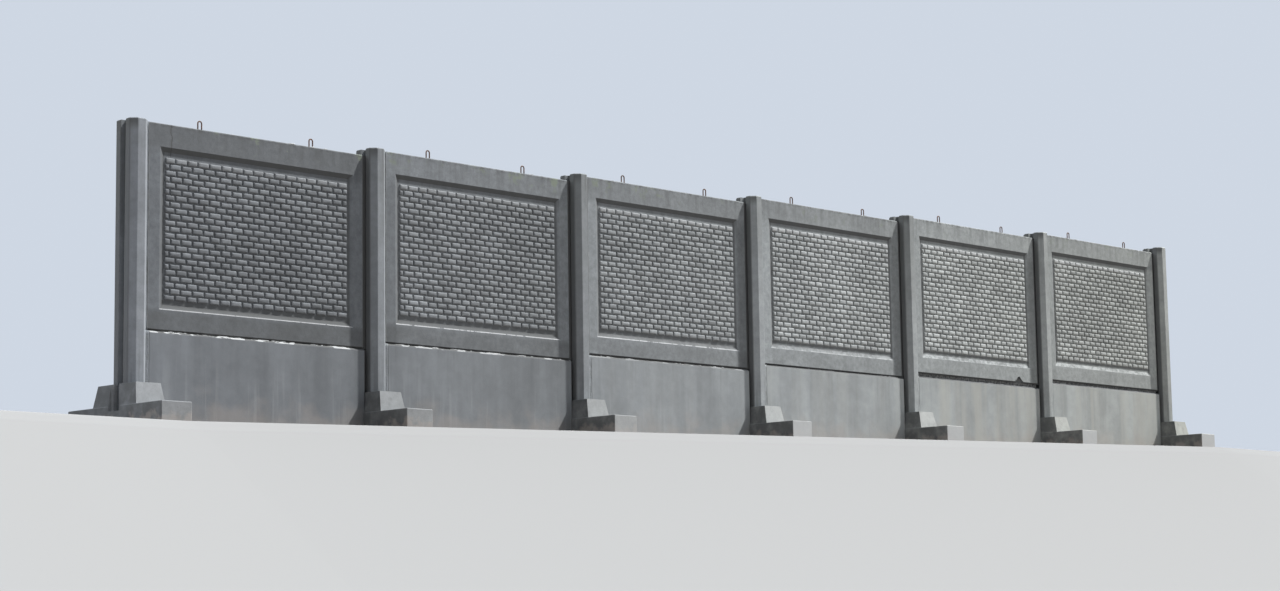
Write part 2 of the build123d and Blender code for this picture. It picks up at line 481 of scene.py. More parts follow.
def clean_concrete(graph, colour, tones, mottled, shift):
    """Colour and relief of clean cast concrete, with clouds, grains and air holes."""
    clouds = graph.noise(0.9, detail=4, offset=3.0)
    patches = graph.noise(7.0, detail=6, offset=11.0)
    mottle = graph.noise(15.0, detail=5, roughness=0.7, offset=81.0)
    grains = graph.noise(190.0, detail=2, offset=5.0)
    pores = graph.pores(55.0, radius=0.12)
    value = graph.product(
        graph.vary(clouds, 0.09),
        graph.vary(patches, 0.06),
        graph.vary(mottle, mottled),
        graph.vary(grains, 0.07),
        # Tone along the run: darker towards the low end as painted shade
        graph.along(tones, shift),
    )
    tint = graph.mix(graph.fit_linear(graph.x, RUN_START, -RUN_START), COOL, WARM)
    tinted = graph.node("ShaderNodeVectorMath", {0: tint, 1: colour}, operation="MULTIPLY").outputs[0]
    body = graph.cover(graph.scale(tinted, value), GRIME_AND_SHADE, 0.6, pores)
    relief = graph.total((patches, 0.5), (mottle, 2 * mottled), (grains, 0.10), (pores, -0.25))
    return body, relief


def cast_concrete(graph, colour, tones, mottled, shift=0.0):
    """Concrete that is weathered on its level tops and trowelled on its back."""
    body, relief = clean_concrete(graph, colour, tones, mottled, shift)
    weathered = graph.fit(graph.noise(12.0, detail=5, offset=91.0), *NOISE_MIDDLE, 0.5, 1.0)
    body = graph.cover(body, DAMP, 0.75, weathered, graph.fit(graph.normal_z, *LEVEL_TOP))
    marks = graph.noise(5.0, detail=4, stretch=(1, 1, 2.6), offset=41.0, warp=1.2)
    trowelled = graph.product(graph.fit(graph.normal_y, *TO_BACK), marks)
    body = graph.scale(body, graph.fit(trowelled, *NOISE_MIDDLE, 1.0, 0.90))
    return body, graph.total((relief, 1.0), (trowelled, 0.9))


def slot_shade_and_light(graph, body):
    """Painted shade on the tongue that meets a post from its low side, deep in the recess there; painted
    light on the one from its high side, to hide the shade in its recess.
    """
    tongue = graph.fit(graph.post_distance(), *TONGUE)
    # Painted light on every tongue, then painted shade over it on the low side of each post
    body = graph.cover(body, PAINTED_SLOT_LIGHT, 0.9, tongue)
    return graph.cover(body, GRIME_AND_SHADE, 0.95, tongue, graph.high_half())


def margin_tones_and_shade(graph, body, height):
    """The upright margins of the panels beside the posts, toned bay by bay; in the margin that a post's
    shadow falls on, the tone is painted shade.
    """
    front = graph.fit(graph.normal_y, *TO_FRONT)
    beside = graph.product(graph.fit(graph.post_distance(), *MARGIN), front)
    beside = graph.product(beside, graph.fit(height, *BELOW_HEAD))
    tones = graph.mix(graph.high_half(), graph.along(LOW_MARGIN_TONES), graph.along(SHADOW_MARGIN_TONES))
    return graph.mix(beside, body, graph.scale(body, tones))


def frame_dirt_and_shade(graph, body, height):
    """Dirt on the head and the rail that frame the coffer, and the tones of the margins beside it, painted
    shade where a post's shadow falls among them.
    """
    front = graph.fit(graph.normal_y, *TO_FRONT)
    clouds = graph.fit(graph.noise(1.6, detail=4, offset=29.0), *NOISE_MIDDLE, 0.75, 1.0)
    head = graph.product(graph.fit(height, *HEAD), front, clouds)
    body = graph.cover(body, GRIME_AND_SHADE, 1.0, head, graph.along(HEAD_GRIME))
    rail = graph.product(graph.fit(height, *RAIL), front)
    body = graph.cover(body, GRIME_AND_SHADE, 1.0, rail, clouds, graph.along(RAIL_GRIME))
    # Margin tones, painted shade in the margins that the posts' shadows fall on
    body = margin_tones_and_shade(graph, body, height)
    blots = graph.noise(3.0, detail=5, stretch=(1, 1, 1.6), offset=27.0)
    return graph.cover(body, GRIME_AND_SHADE, 0.26, rail, graph.fit(blots, 0.38, 0.62), graph.along(RAIL_BLOTS))


def top_stains(graph, body, height):
    """Lichen under the top edge, and dark spots along it."""
    spots = graph.noise(4.5, detail=7, roughness=0.65, offset=21.0)
    zone = graph.fit(height, *LICHEN_ZONE)
    body = graph.cover(body, LICHEN, 0.75, zone, graph.fit(spots, 0.57, 0.66), graph.along(TOP_LICHEN))
    rim_spots = graph.noise(16.0, detail=5, roughness=0.7, offset=33.0)
    return graph.cover(body, GRIME_AND_SHADE, 0.6, graph.fit(height, *TOP_RIM), graph.fit(rim_spots, 0.48, 0.58))


def coffer_shade(graph, body, inside, above):
    """Painted shade in the coffer: on the downward bevel and the field under its head, on the sunlit bevel
    at its low end, and round the relief and under its foot.
    """
    # Painted shade on the bevel under the head and on the field below it
    body = graph.cover(body, GRIME_AND_SHADE, 0.80, inside, graph.fit(graph.normal_z, *DOWNWARD))
    body = graph.cover(body, GRIME_AND_SHADE, 0.28, inside, graph.fit(above, *COFFER_HOOD))
    # Painted shade on the bevel that faces the sun
    body = graph.cover(body, GRIME_AND_SHADE, 0.45, inside, graph.fit(graph.normal_x, *TO_HIGH_END))
    # Painted shade on the field beside the relief's ends and under its foot
    deep = graph.product(graph.fit(graph.y, *COFFER_DEEP), inside)
    sides = graph.product(deep, graph.fit(graph.post_distance(), *RELIEF_SIDE))
    body = graph.cover(body, GRIME_AND_SHADE, 0.60, sides)
    near_bricks = graph.math("MAXIMUM", graph.fit(above, *ABOVE_SILL), graph.along(COFFER_DARKENING))
    return graph.cover(body, GRIME_AND_SHADE, 0.65, deep, graph.fit(above, *FIELD_FOOT), near_bricks)


def sill_stains_and_highlight(graph, body, inside, above):
    """The coffer's sill: darker at the low end, a broken painted highlight along its lit arris, lime and
    dark spots.
    """
    upward = graph.fit(graph.normal_z, *SILL_SLOPE)
    sill = graph.product(upward, inside, graph.fit(above, *SILL))
    body = graph.cover(body, GRIME_AND_SHADE, 0.80, sill, graph.along(COFFER_DARKENING))
    broken = graph.noise(1.0, detail=4, roughness=0.7, stretch=(9, 9, 9), offset=23.0)
    whole = graph.math("ADD", broken, graph.along(SILL_WHOLE))
    # Painted highlight along the sill's lit arris, broken by noise
    pale = graph.product(graph.fit(whole, 0.43, 0.52), graph.along(SILL_ARRIS_HIGHLIGHT))
    rim = graph.product(upward, graph.fit(graph.y, *SILL_RIM))
    body = graph.cover(body, PAINTED_ARRIS_HIGHLIGHT, 1.0, rim, graph.fit(above, *SILL), pale)
    body = graph.cover(body, LIME_AND_HIGHLIGHT, 0.8, sill, graph.fit(broken, 0.40, 0.54), graph.along(SILL_LIME))
    spots = graph.noise(14.0, detail=5, roughness=0.7, offset=83.0)
    return graph.cover(body, GRIME_AND_SHADE, 0.55, sill, graph.fit(spots, 0.42, 0.60), graph.along(SILL_SPOTS))


def top_crack(graph, body, relief):
    """A hairline crack down from the top edge of the lowest bay, with a dirty edge."""
    wander = graph.noise(1.0, detail=5, roughness=0.7, stretch=(0, 0, 9), offset=51.0)
    line = graph.total((graph.x, 1.0), (wander, -CRACK_WANDER), (CRACK_WANDER / 2 - CRACK_X, 1.0))
    off = graph.math("ABSOLUTE", line)
    reach = graph.product(graph.fit(graph.z, *CRACK_FOOT), graph.fit(off, *CRACK_REACH))
    crack = graph.product(graph.fit(off, *CRACK_WIDTH), reach)
    stained = graph.product(graph.fit(off, *CRACK_STAIN), reach)
    body = graph.cover(graph.cover(body, GRIME_AND_SHADE, 0.35, stained), GRIME_AND_SHADE, 0.9, crack)
    return body, graph.total((relief, 1.0), (crack, -0.9))


def chip_shade(graph, body):
    """Painted shade in the chipped hollow at the foot of the panel in the fifth bay."""
    measure = graph.node("ShaderNodeVectorMath", {0: graph.place, 1: CHIP_PLACE}, operation="DISTANCE")
    near = graph.fit(measure.outputs["Value"], *CHIP_SHADE)
    return graph.cover(body, GRIME_AND_SHADE, 0.70, graph.product(near, graph.fit(graph.y, *CHIP_MOUTH)))


def upper_panel_concrete():
    """Panels: drip stains and lichen under the top edge, painted shade in the coffer, at the foot and in the
    chip, painted light and shade in the slots, and a painted highlight on the sill's arris.
    """
    graph = Graph("upper_panel_concrete")
    body, relief = cast_concrete(graph, CONCRETE, PANEL_TONES, mottled=0.14)
    height = graph.height()
    drips = graph.streaks(13, 0.8, detail=4, offset=2.0)
    body = graph.cover(body, GRIME_AND_SHADE, 0.34, graph.fit(height, *TOP_DRIPS), graph.fit(drips, 0.46, 0.66))
    body = frame_dirt_and_shade(graph, body, height)
    body = top_stains(graph, body, height)
    inside = graph.product(graph.fit(graph.y, *COFFER_MOUTH), graph.fit(graph.y, *COFFER_FIELD))
    above = graph.math("SUBTRACT", height, SEAM_HEIGHT)
    body = coffer_shade(graph, body, inside, above)
    body = sill_stains_and_highlight(graph, body, inside, above)
    # Painted shade on the downward chamfer at the panel's foot
    foot = graph.product(graph.fit(graph.normal_z, *DOWNWARD), graph.fit(height, *PANEL_FOOT))
    body = graph.cover(body, GRIME_AND_SHADE, 0.8, foot)
    body = slot_shade_and_light(graph, body)
    body, relief = top_crack(graph, body, relief)
    body = chip_shade(graph, body)
    return graph.finish(body, relief, roughness=0.9, depth=0.004)


def plinth_arris(graph, body):
    """The plinth's upper arris: pale dashes as a painted highlight where the sun catches it, painted shade
    and grime between them.
    """
    broken = graph.fit(graph.noise(1.0, detail=3, stretch=(5, 9, 9), offset=1.0), 0.50, 0.56)
    highlit = graph.product(broken, graph.along(LEDGE_HIGHLIGHT))
    return graph.mix(graph.fit(graph.normal_z, *ARRIS_SLOPE), body, graph.mix(highlit, GRIME_AND_SHADE, LIME_AND_HIGHLIGHT))


def plinth_concrete():
    """Plinth panels: smoother and paler, with broad soft drips, a soiled foot darkened at its edge as
    painted shade for the gap beneath, and an arris painted with highlight and shade.
    """
    graph = Graph("plinth_concrete")
    body, relief = cast_concrete(graph, CONCRETE_PLINTH, PLINTH_TONES, mottled=0.02)
    height = graph.height()
    broad = graph.streaks(3.2, 0.35, detail=2, offset=7.0)
    body = graph.scale(body, graph.fit(broad, 0.35, 0.65, 0.90, 1.08))
    fine = graph.streaks(15, 0.7, detail=4, offset=17.0)
    body = graph.cover(body, GRIME_AND_SHADE, 0.16, graph.fit(height, *PLINTH_DRIPS), graph.fit(fine, 0.50, 0.70))
    body = graph.cover(body, LIME_AND_HIGHLIGHT, 0.11, graph.fit(height, *PLINTH_WASH), graph.fit(fine, 0.46, 0.34))
    runs = graph.fit(graph.streaks(4.5, 0.25, detail=3, offset=57.0), 0.40, 0.62)
    body = graph.cover(body, PALE_RUN, 0.55, runs, graph.along(PLINTH_RUNS))
    splashed = graph.uneven(height, 4.0, offset=9.0, reach=0.16)
    body = graph.cover(body, SOIL, 0.30, graph.fit(splashed, *PLINTH_SOIL))
    # Darkest at the very foot: painted shade for the gap under the plinth, with soil
    body = graph.cover(body, GRIME_AND_SHADE, 0.45, graph.fit(height, *PLINTH_FOOT))
    body = plinth_arris(graph, body)
    body = slot_shade_and_light(graph, body)
    return graph.finish(body, relief, roughness=0.85, depth=0.003)


def post_concrete():
    """Posts: an even cast face, dark runs from the head, and painted shade on the sides, chamfer and head
    facing the low end and in the slots.
    """
    graph = Graph("post_concrete")
    shift = BAY / 2
    body, relief = cast_concrete(graph, CONCRETE_POST, POST_TONES, mottled=0.07, shift=shift)
    height = graph.height(shift)
    depth = graph.math("ABSOLUTE", graph.y)
    low_side = graph.fit(graph.normal_x, *TO_LOW_END)
    # Painted shade on the side facing the low end, near the panel
    body = graph.cover(body, GRIME_AND_SHADE, 0.80, low_side, graph.fit(depth, *NEAR_PANEL))
    # Painted shade on the chamfer facing the low end, post by post
    chamfer = graph.product(graph.fit(graph.normal_x, *CHAMFER), graph.fit(graph.normal_y, *CHAMFER))
    body = graph.cover(body, GRIME_AND_SHADE, 1.0, chamfer, graph.along(CHAMFER_SHADE, shift))
    # Painted shade in the slots
    body = graph.cover(body, GRIME_AND_SHADE, 0.75, graph.fit(depth, *IN_SLOT))
    runs = graph.streaks(26, 1.2, detail=5, offset=4.0)
    body = graph.cover(body, GRIME_AND_SHADE, 0.42, graph.fit(height, *POST_TOP_DRIPS), graph.fit(runs, 0.45, 0.65))
    # Painted shade on the head's side that faces the low end
    head_side = graph.fit(graph.normal_x, *HEAD_TO_LOW_END)
    body = graph.cover(body, GRIME_AND_SHADE, 0.75, graph.fit(height, *POST_HEAD), head_side)
    body = graph.cover(body, GRIME_AND_SHADE, 0.30, graph.fit(height, *POST_FOOT_DRIPS), graph.fit(runs, 0.42, 0.62))
    dull = graph.streaks(3, 1.2, detail=3, offset=71.0)
    body = graph.cover(body, DAMP, 0.30, graph.fit(height, *POST_DULL), graph.fit(dull, 0.35, 0.60))
    return graph.finish(body, relief, roughness=0.88, depth=0.003)


def footing_concrete():
    """Footings: rougher, with painted shade on the sides that face the low end, away from the sun, and soil
    splashed up the toe.
    """
    graph = Graph("footing_concrete")
    shift = BAY / 2
    body, relief = cast_concrete(graph, CONCRETE_FOOT, FOOTING_TONES, mottled=0.08, shift=shift)
    height = graph.height(shift)
    blots = graph.noise(8.0, detail=6, offset=37.0)
    # Painted shade on the sides that face the low end, broken by blots
    shaded = graph.product(graph.fit(graph.normal_x, *SHADED), graph.fit(blots, 0.25, 0.60, 0.6, 1.0))
    body = graph.cover(body, GRIME_AND_SHADE, 0.85, shaded)
    body = graph.cover(body, GRIME_AND_SHADE, 0.30, graph.fit(blots, 0.55, 0.72))
    splashed = graph.uneven(height, 9.0, offset=13.0, reach=0.08)
    body = graph.cover(body, SOIL, 0.45, graph.fit(splashed, *TOE_SOIL))
    front = graph.fit(graph.normal_y, *SQUARE_TO_FRONT)
    toe_front = graph.product(front, graph.fit(height, *BELOW_TOE_TOP))
    body = graph.cover(body, LIME_AND_HIGHLIGHT, 0.9, toe_front, graph.along(TOE_LIME, shift))
    pedestal_front = graph.product(front, graph.fit(height, *ABOVE_TOE_TOP))
    body = graph.cover(body, LIME_AND_HIGHLIGHT, 1.0, pedestal_front, graph.along(PEDESTAL_LIME, shift))
    return graph.finish(body, relief, roughness=0.92, depth=0.006)


def brick_concrete():
    """The relief: each brick has its own tone, the top course carries a painted highlight, and the bricks
    darken down their sides towards the field.
    """
    graph = Graph("brick_concrete")
    body, relief = cast_concrete(graph, CONCRETE_BRICK, BRICK_TONES, mottled=0.05)
    tone = graph.node("ShaderNodeAttribute", attribute_name="tone").outputs["Fac"]
    body = graph.scale(body, tone)
    above = graph.math("SUBTRACT", graph.height(), SEAM_HEIGHT)
    # Painted highlight on the top course, which catches the sun
    body = graph.cover(body, LIME_AND_HIGHLIGHT, 0.45, graph.fit(above, *TOP_COURSE), graph.along(TOP_COURSE_HIGHLIGHT))
    # Darker down the brick sides, towards the field between them
    body = graph.cover(body, GRIME_AND_SHADE, 0.6, graph.fit(graph.y, *BRICK_JOINTS))
    return graph.finish(body, relief, roughness=0.92, depth=0.005)


def crumb_mortar():
    """Crumbs on the seam and along the top edges: mortar and pale lime, duller at the high end."""
    graph = Graph("crumb_mortar")
    lumps = graph.noise(40.0, detail=6, offset=61.0)
    body = graph.scale(graph.mix(graph.fit(lumps, 0.3, 0.6), MORTAR, LIME_AND_HIGHLIGHT), graph.along(CRUMB_TONES))
    return graph.finish(body, lumps, roughness=0.95, depth=0.006)


def bed_mortar():
    """Mortar beds: rough mortar, darkened as painted shade deep in the seam."""
    graph = Graph("bed_mortar")
    lumps = graph.noise(28.0, detail=6, offset=31.0)
    body = graph.mix(graph.fit(lumps, 0.35, 0.65), GRIME_AND_SHADE, MORTAR)
    return graph.finish(body, lumps, roughness=0.95, depth=0.012)


def joint_mortar():
    """Mortar in the upright joints: the tone of the castings, rough and blotched."""
    graph = Graph("joint_mortar")
    body, relief = cast_concrete(graph, CONCRETE, JOINT_TONES, mottled=0.10)
    blots = graph.noise(9.0, detail=6, offset=14.0)
    body = graph.cover(body, DAMP, 0.45, graph.fit(blots, 0.45, 0.65))
    lumps = graph.noise(50.0, detail=5, offset=15.0)
    return graph.finish(body, graph.total((relief, 1.0), (lumps, 1.0)), roughness=0.95, depth=0.005)


def rusted_bar():
    """Loops: brown rust with darker scale."""
    graph = Graph("rusted_bar")
    flakes = graph.noise(60.0, detail=5)
    body = graph.mix(graph.fit(flakes, 0.4, 0.6), RUST, RUST_DARK)
    return graph.finish(body, flakes, roughness=0.8, depth=0.002)


# Meshes and objects

def add_object(name, data):
    """Puts a new object in the scene."""
    made = bpy.data.objects.new(name, data)
    bpy.context.scene.collection.objects.link(made)
    return made


def make_mesh(name, vertices, faces, smooth=None):
    """A mesh with flat faces, or with one flag for each face that says whether it is smooth."""
    mesh = bpy.data.meshes.new(name)
    mesh.from_pydata(vertices, [], faces)
    if smooth:
        mesh.polygons.foreach_set("use_smooth", smooth)
    mesh.update()
    return mesh


def grid_faces(first, lines, points, turned=False):
    """Faces of a grid, its vertices numbered line by line; turned faces look the other way."""
    faces = []
    for line in range(lines - 1):
        for point in range(points - 1):
            corner = first + line * points + point
            face = (corner, corner + 1, corner + points + 1, corner + points)
            faces.append((face[0], face[3], face[2], face[1]) if turned else face)
    return faces


def grid_rim(first, lines, points):
    """Vertices round the edge of such a grid, in order."""
    places = [(line, 0) for line in range(lines)]
    places += [(lines - 1, point) for point in range(1, points)]
    places += [(line, points - 1) for line in range(lines - 2, -1, -1)]
    places += [(0, point) for point in range(points - 2, 0, -1)]
    return [first + line * points + point for line, point in places]


def spread(draw, reach):
    """A random amount, to both sides of 0."""
    return draw.uniform(-reach, reach)


def bay_centre(bay):
    """Centre of a bay, counted from 0 at the low end."""
    return RUN_START + (bay + 0.5) * BAY


def add_piece(mesh, material):
    """Adds one piece of the looks, which rides on the part's one body."""
    piece = add_object(mesh.name, mesh)
    mesh.materials.append(material)
    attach(piece, "root")


# Brick relief

def edge_rise(distance):
    """Height of a brick's face, 0 to 1, at a distance from its edge."""
    inside = np.clip(distance / BRICK_ROUND, 0, 1)
    return np.sqrt(1 - (1 - inside) ** 2)


def brick_lines(length, spans):
    """Grid lines across a brick: close together at its rounded edges."""
    near = [BRICK_ROUND * step for step in ROUND_LINES]
    far = [length - step for step in reversed(near)]
    middle = np.linspace(BRICK_ROUND, length - BRICK_ROUND, spans + 1)[1:-1]
    return np.array([*near, *middle, *far])


def brick_face(draw, left, foot, length, height):
    """Grid of a brick's face, a rounded pillow that leans: x, z, depth, and its rise from 0 to 1."""
    across = brick_lines(length, max(2, round(length / BRICK_SPAN)))
    upward = brick_lines(height, UPWARD_SPANS)
    u, v = np.meshgrid(across, upward, indexing="ij")
    rise = edge_rise(np.minimum(u, length - u)) * edge_rise(np.minimum(v, height - v))
    lean_upward = draw.uniform(*LEAN_UPWARD) * (v - height / 2)
    lean = lean_upward + spread(draw, LEAN_ALONG) * (u - length / 2)
    depth = (BRICK_PROUD - BRICK_ROOM + spread(draw, PROUD_SPREAD) + lean) * rise
    bulge = BRICK_BULGE * np.sin(math.pi * u / length) * np.sin(math.pi * v / height)
    return left + u, foot + v, depth + bulge, rise


def brick_skin(x, z, seed):
    """How far the rough skin of a brick stands out at a place."""
    place = Vector((x * BRICK_GRAINS[0], seed, z * BRICK_GRAINS[1]))
    return noise.noise(place) * COARSE_SKIN + noise.noise(place * TIMES_FINER) * FINE_SKIN


def add_brick(draw, left, foot, length, height, vertices, faces, tones):
    """Adds one brick in one tone: its face as a grid, closed behind by a skirt and a back."""
    x, z, depth, rise = brick_face(draw, left, foot, length, height)
    columns, rows = x.shape
    tone = draw.uniform(*TONE_SPREAD)
    seed = draw.uniform(0, NOISE_REACH)
    first = len(vertices)
    for i in range(columns):
        for j in range(rows):
            stand = max(depth[i, j] + brick_skin(x[i, j], z[i, j], seed) * rise[i, j], 0.0)
            vertices.append((x[i, j], FIELD_Y - stand, z[i, j]))
    faces.extend(grid_faces(first, columns, rows, turned=True))
    rim = grid_rim(first, columns, rows)
    back = len(vertices)
    for corner in rim:
        corner_x, _, corner_z = vertices[corner]
        vertices.append((corner_x, FIELD_Y + BRICK_SINK, corner_z))
    for count, corner in enumerate(rim):
        following = (count + 1) % len(rim)
        faces.append((corner, back + count, back + following, rim[following]))
    faces.append(tuple(reversed(range(back, back + len(rim)))))
    tones.extend([tone] * (len(vertices) - first))


def course_ends(draw, row):
    """Uneven ends of the bricks in one course; every second course starts with half a brick."""
    module = RELIEF_WIDTH / BRICKS_PER_COURSE
    start = 0.0 if row % 2 == 0 else -module / 2
    ends = [start + module * count for count in range(BRICKS_PER_COURSE + 2)]
    ends = [end + spread(draw, END_SPREAD) for end in ends]
    return [min(max(end, 0.0), RELIEF_WIDTH) for end in ends]


def relief_mesh(bay):
    """All the bricks of one panel, in running bond; every panel repeats them with a skin of its own."""
    draw = random.Random(BRICK_DRAWS)
    side = bay_centre(bay) - RELIEF_WIDTH / 2
    level = bay * STEP + SEAM_HEIGHT
    course = (RELIEF_TOP - RELIEF_FOOT) / COURSES
    vertices, faces, tones = [], [], []
    for row in range(COURSES):
        ends = course_ends(draw, row)
        for first, last in zip(ends, ends[1:]):
            if last - first < SHORTEST_BRICK:
                continue
            left = side + first + UPRIGHT_JOINT / 2
            foot = level + RELIEF_FOOT + row * course + JOINT / 2 + spread(draw, FOOT_SPREAD)
            length = last - first - UPRIGHT_JOINT + spread(draw, LENGTH_SPREAD)
            height = course - JOINT + draw.uniform(*HEIGHT_SPREAD)
            add_brick(draw, left, foot, length, height, vertices, faces, tones)
    mesh = make_mesh(f"brick_relief_{bay + 1}", vertices, faces, smooth=[True] * len(faces))
    layer = mesh.attributes.new("tone", "FLOAT", "POINT")
    layer.data.foreach_set("value", tones)
    return mesh


# Mortar in the joints on the high side of each post

def strip_skin(x, z, seed):
    """How far the rough skin of a strip lies in at a place."""
    along, upward = STRIP_COARSE_GRAINS
    coarse = noise.noise(Vector((x * along, seed, z * upward)))
    along, upward = STRIP_FINE_GRAINS
    fine = noise.noise(Vector((x * along, z * upward, seed)))
    return STRIP_COARSE_SKIN * coarse + STRIP_FINE_SKIN * fine


def strip_sides(first, rows, inner, vertices):
    """Adds the four inner corners of a strip, and returns the faces of its sides and its back."""
    wide = STRIP_COLUMNS + 1
    low = [first + column for column in range(wide)]
    left = [first + row * wide for row in range(rows + 1)]
    high = [corner + rows * wide for corner in low]
    right = [corner + STRIP_COLUMNS for corner in left]
    back = len(vertices)
    for corner in (left[0], left[-1], right[-1], right[0]):
        x, _, z = vertices[corner]
        vertices.append((x, inner, z))
    a, b, c, d = range(back, back + 4)
    return [(*reversed(low), a, d), (*high, c, b), (*left, b, a), (*reversed(right), d, c), (a, b, c, d)]


def add_strip(draw, span, heights, depths, vertices, faces):
    """Adds one closed upright strip; its outer face, at the second depth, is rough and hollow."""
    inner, outer = depths
    low, high = heights
    rows = max(2, round((high - low) / STRIP_ROW))
    seed = draw.uniform(0, NOISE_REACH)
    first = len(vertices)
    for row in range(rows + 1):
        z = low + (high - low) * row / rows
        for column in range(STRIP_COLUMNS + 1):
            share = column / STRIP_COLUMNS
            x = span[0] + (span[1] - span[0]) * share
            inward = STRIP_HOLLOW * math.sin(math.pi * share) + strip_skin(x, z, seed)
            vertices.append((x, outer + math.copysign(inward, inner - outer), z))
    made = grid_faces(first, rows + 1, STRIP_COLUMNS + 1)
    made += strip_sides(first, rows, inner, vertices)
    if outer > inner:
        made = [tuple(reversed(face)) for face in made]
    faces.extend(made)


def joint_mesh(bay):
    """Mortar between a post and the panels on its high side, set a little back from their faces."""
    draw = random.Random(JOINT_DRAWS + bay)
    post = RUN_START + bay * BAY
    level = bay * STEP
    seam = level + SEAM_HEIGHT
    span = (post + POST_SIDE + HAIR, post + PANEL_END - HAIR)
    beside_plinth = (level + PEDESTAL_TOP, seam - BED_HEIGHTS[bay])
    beside_panel = (seam, level + WALL_HEIGHT - MORTAR_TOP_GAP)
    vertices, faces = [], []
    for side in (1, -1):
        inner = side * (TONGUE_FACE - HAIR)
        for face, heights in ((PLINTH_FACE, beside_plinth), (PANEL_FACE, beside_panel)):
            add_strip(draw, span, heights, (inner, side * (face + MORTAR_BACK)), vertices, faces)
    smooth = [len(face) == 4 for face in faces]
    return make_mesh(f"joint_mortar_{bay + 1}", vertices, faces, smooth)


# Crumbs of mortar and laitance

def lump_place(centre, reach, angle, turn, seed):
    """A place on the rough skin of a lump: angle runs from tip to tip, turn goes round it."""
    flat = math.sin(angle) ** LUMP_BLUNT
    across = math.cos(turn) * flat * reach[1]
    upward = math.sin(turn) * flat * reach[2]
    point = Vector((math.cos(angle) * reach[0], across, upward))
    rough = 1 + LUMP_ROUGH * noise.noise(Vector((point.x * LUMP_GRAINS + seed, turn, angle)))
    return (centre[0] + point.x, centre[1] + point.y * rough, centre[2] + point.z * rough)


def add_lump(draw, centre, reach, vertices, faces):
    """Adds one closed lump: a ball drawn out to its reach along the wall, with a rough skin."""
    rings = max(FEWEST_RINGS, round(reach[0] / LUMP_RING))
    seed = draw.uniform(0, NOISE_REACH)
    first = len(vertices)
    vertices.append((centre[0] - reach[0], centre[1], centre[2]))
    for ring in range(1, rings):
        for side in range(LUMP_SIDES):
            angle = math.pi * (1 - ring / rings)
            turn = 2 * math.pi * side / LUMP_SIDES
            vertices.append(lump_place(centre, reach, angle, turn, seed))
    vertices.append((centre[0] + reach[0], centre[1], centre[2]))
    last = len(vertices) - 1
    tail = last - LUMP_SIDES
    for side in range(LUMP_SIDES):
        following = (side + 1) % LUMP_SIDES
        faces.append((first, first + 1 + following, first + 1 + side))
        for ring in range(rings - 2):
            corner = first + 1 + ring * LUMP_SIDES
            here, there = corner + side, corner + following
            faces.append((here, there, there + LUMP_SIDES, here + LUMP_SIDES))
        faces.append((last, tail + side, tail + following))


def seam_crumb(draw, centre, ledge):
    """Place and reach of one crumb that was squeezed out on the plinth's arris."""
    long = draw.choice(CRUMB_LENGTHS)
    place = (centre + spread(draw, SEAM_REACH), PANEL_FACE - draw.uniform(*CRUMB_OUT), ledge + CRUMB_LIFT)
    return place, (long, draw.uniform(*CRUMB_DEPTHS), draw.uniform(*CRUMB_HEIGHTS))


def top_laitance(draw, centre, top):
    """Place and reach of one patch of laitance on the top edge, most often near a loop."""
    near = draw.choice(LOOP_PLACES) + draw.gauss(0, LOOP_SPREAD)
    place = (centre + min(max(near, -TOP_REACH), TOP_REACH), draw.uniform(*LAITANCE_ACROSS), top)
    return place, tuple(draw.uniform(*sizes) for sizes in LAITANCE_SIZES)


def crumbs_mesh(bay):
    """Mortar squeezed out on the plinth's arris, and laitance round the loops and along the top."""
    draw = random.Random(CRUMB_DRAWS + bay)
    centre = bay_centre(bay)
    ledge = bay * STEP + SEAM_HEIGHT - BED_HEIGHTS[bay]
    top = bay * STEP + WALL_HEIGHT
    vertices, faces = [], []
    for choose, height in ((seam_crumb, ledge), (top_laitance, top)):
        for _ in range(CRUMBS[bay]):
            place, reach = choose(draw, centre, height)
            add_lump(draw, place, reach, vertices, faces)
    return make_mesh(f"mortar_crumbs_{bay + 1}", vertices, faces, smooth=[True] * len(faces))


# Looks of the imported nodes

def round_arrises(piece):
    """Rounds the sharp cast edges of a node, which only takes material away."""
    weld = piece.modifiers.new("weld", "WELD")
    weld.merge_threshold = WELD_REACH
    bevel = piece.modifiers.new("arrises", "BEVEL")
    bevel.width = ARRIS_ROUND
    bevel.segments = ARRIS_SEGMENTS
    bevel.limit_method = "ANGLE"
    bevel.angle_limit = ARRIS_ANGLE


def chip_away(piece):
    """Breaks a rough hollow out of a node with a hidden lump, which only takes material away."""
    vertices, faces = [], []
    add_lump(random.Random(CHIP_DRAWS), CHIP_PLACE, CHIP_REACH, vertices, faces)
    lump = add_object("chip", make_mesh("chip", vertices, faces))
    lump.hide_render = True
    cut = piece.modifiers.new("chip", "BOOLEAN")
    cut.operation = "DIFFERENCE"
    cut.object = lump


def paint_frame():
    """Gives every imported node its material, and rounds and chips the castings."""
    finishes = {
        "upper_panel": upper_panel_concrete(),
        "plinth_panel": plinth_concrete(),
        "post": post_concrete(),
        "footing": footing_concrete(),
        "mortar_bed": bed_mortar(),
        "lifting_loops": rusted_bar(),
    }
    for name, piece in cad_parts.items():
        kind = name.rsplit("_", 1)[0]
        for slot in piece.material_slots:
            slot.material = finishes[kind]
        if kind not in ("lifting_loops", "mortar_bed"):
            round_arrises(piece)
    chip_away(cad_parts[CHIPPED_PANEL])


# Stage

def direction(azimuth, elevation):
    """Unit vector towards a place in front of the wall; azimuth turns to the right."""
    flat = math.cos(elevation)
    return Vector((math.sin(azimuth) * flat, -math.cos(azimuth) * flat, math.sin(elevation)))


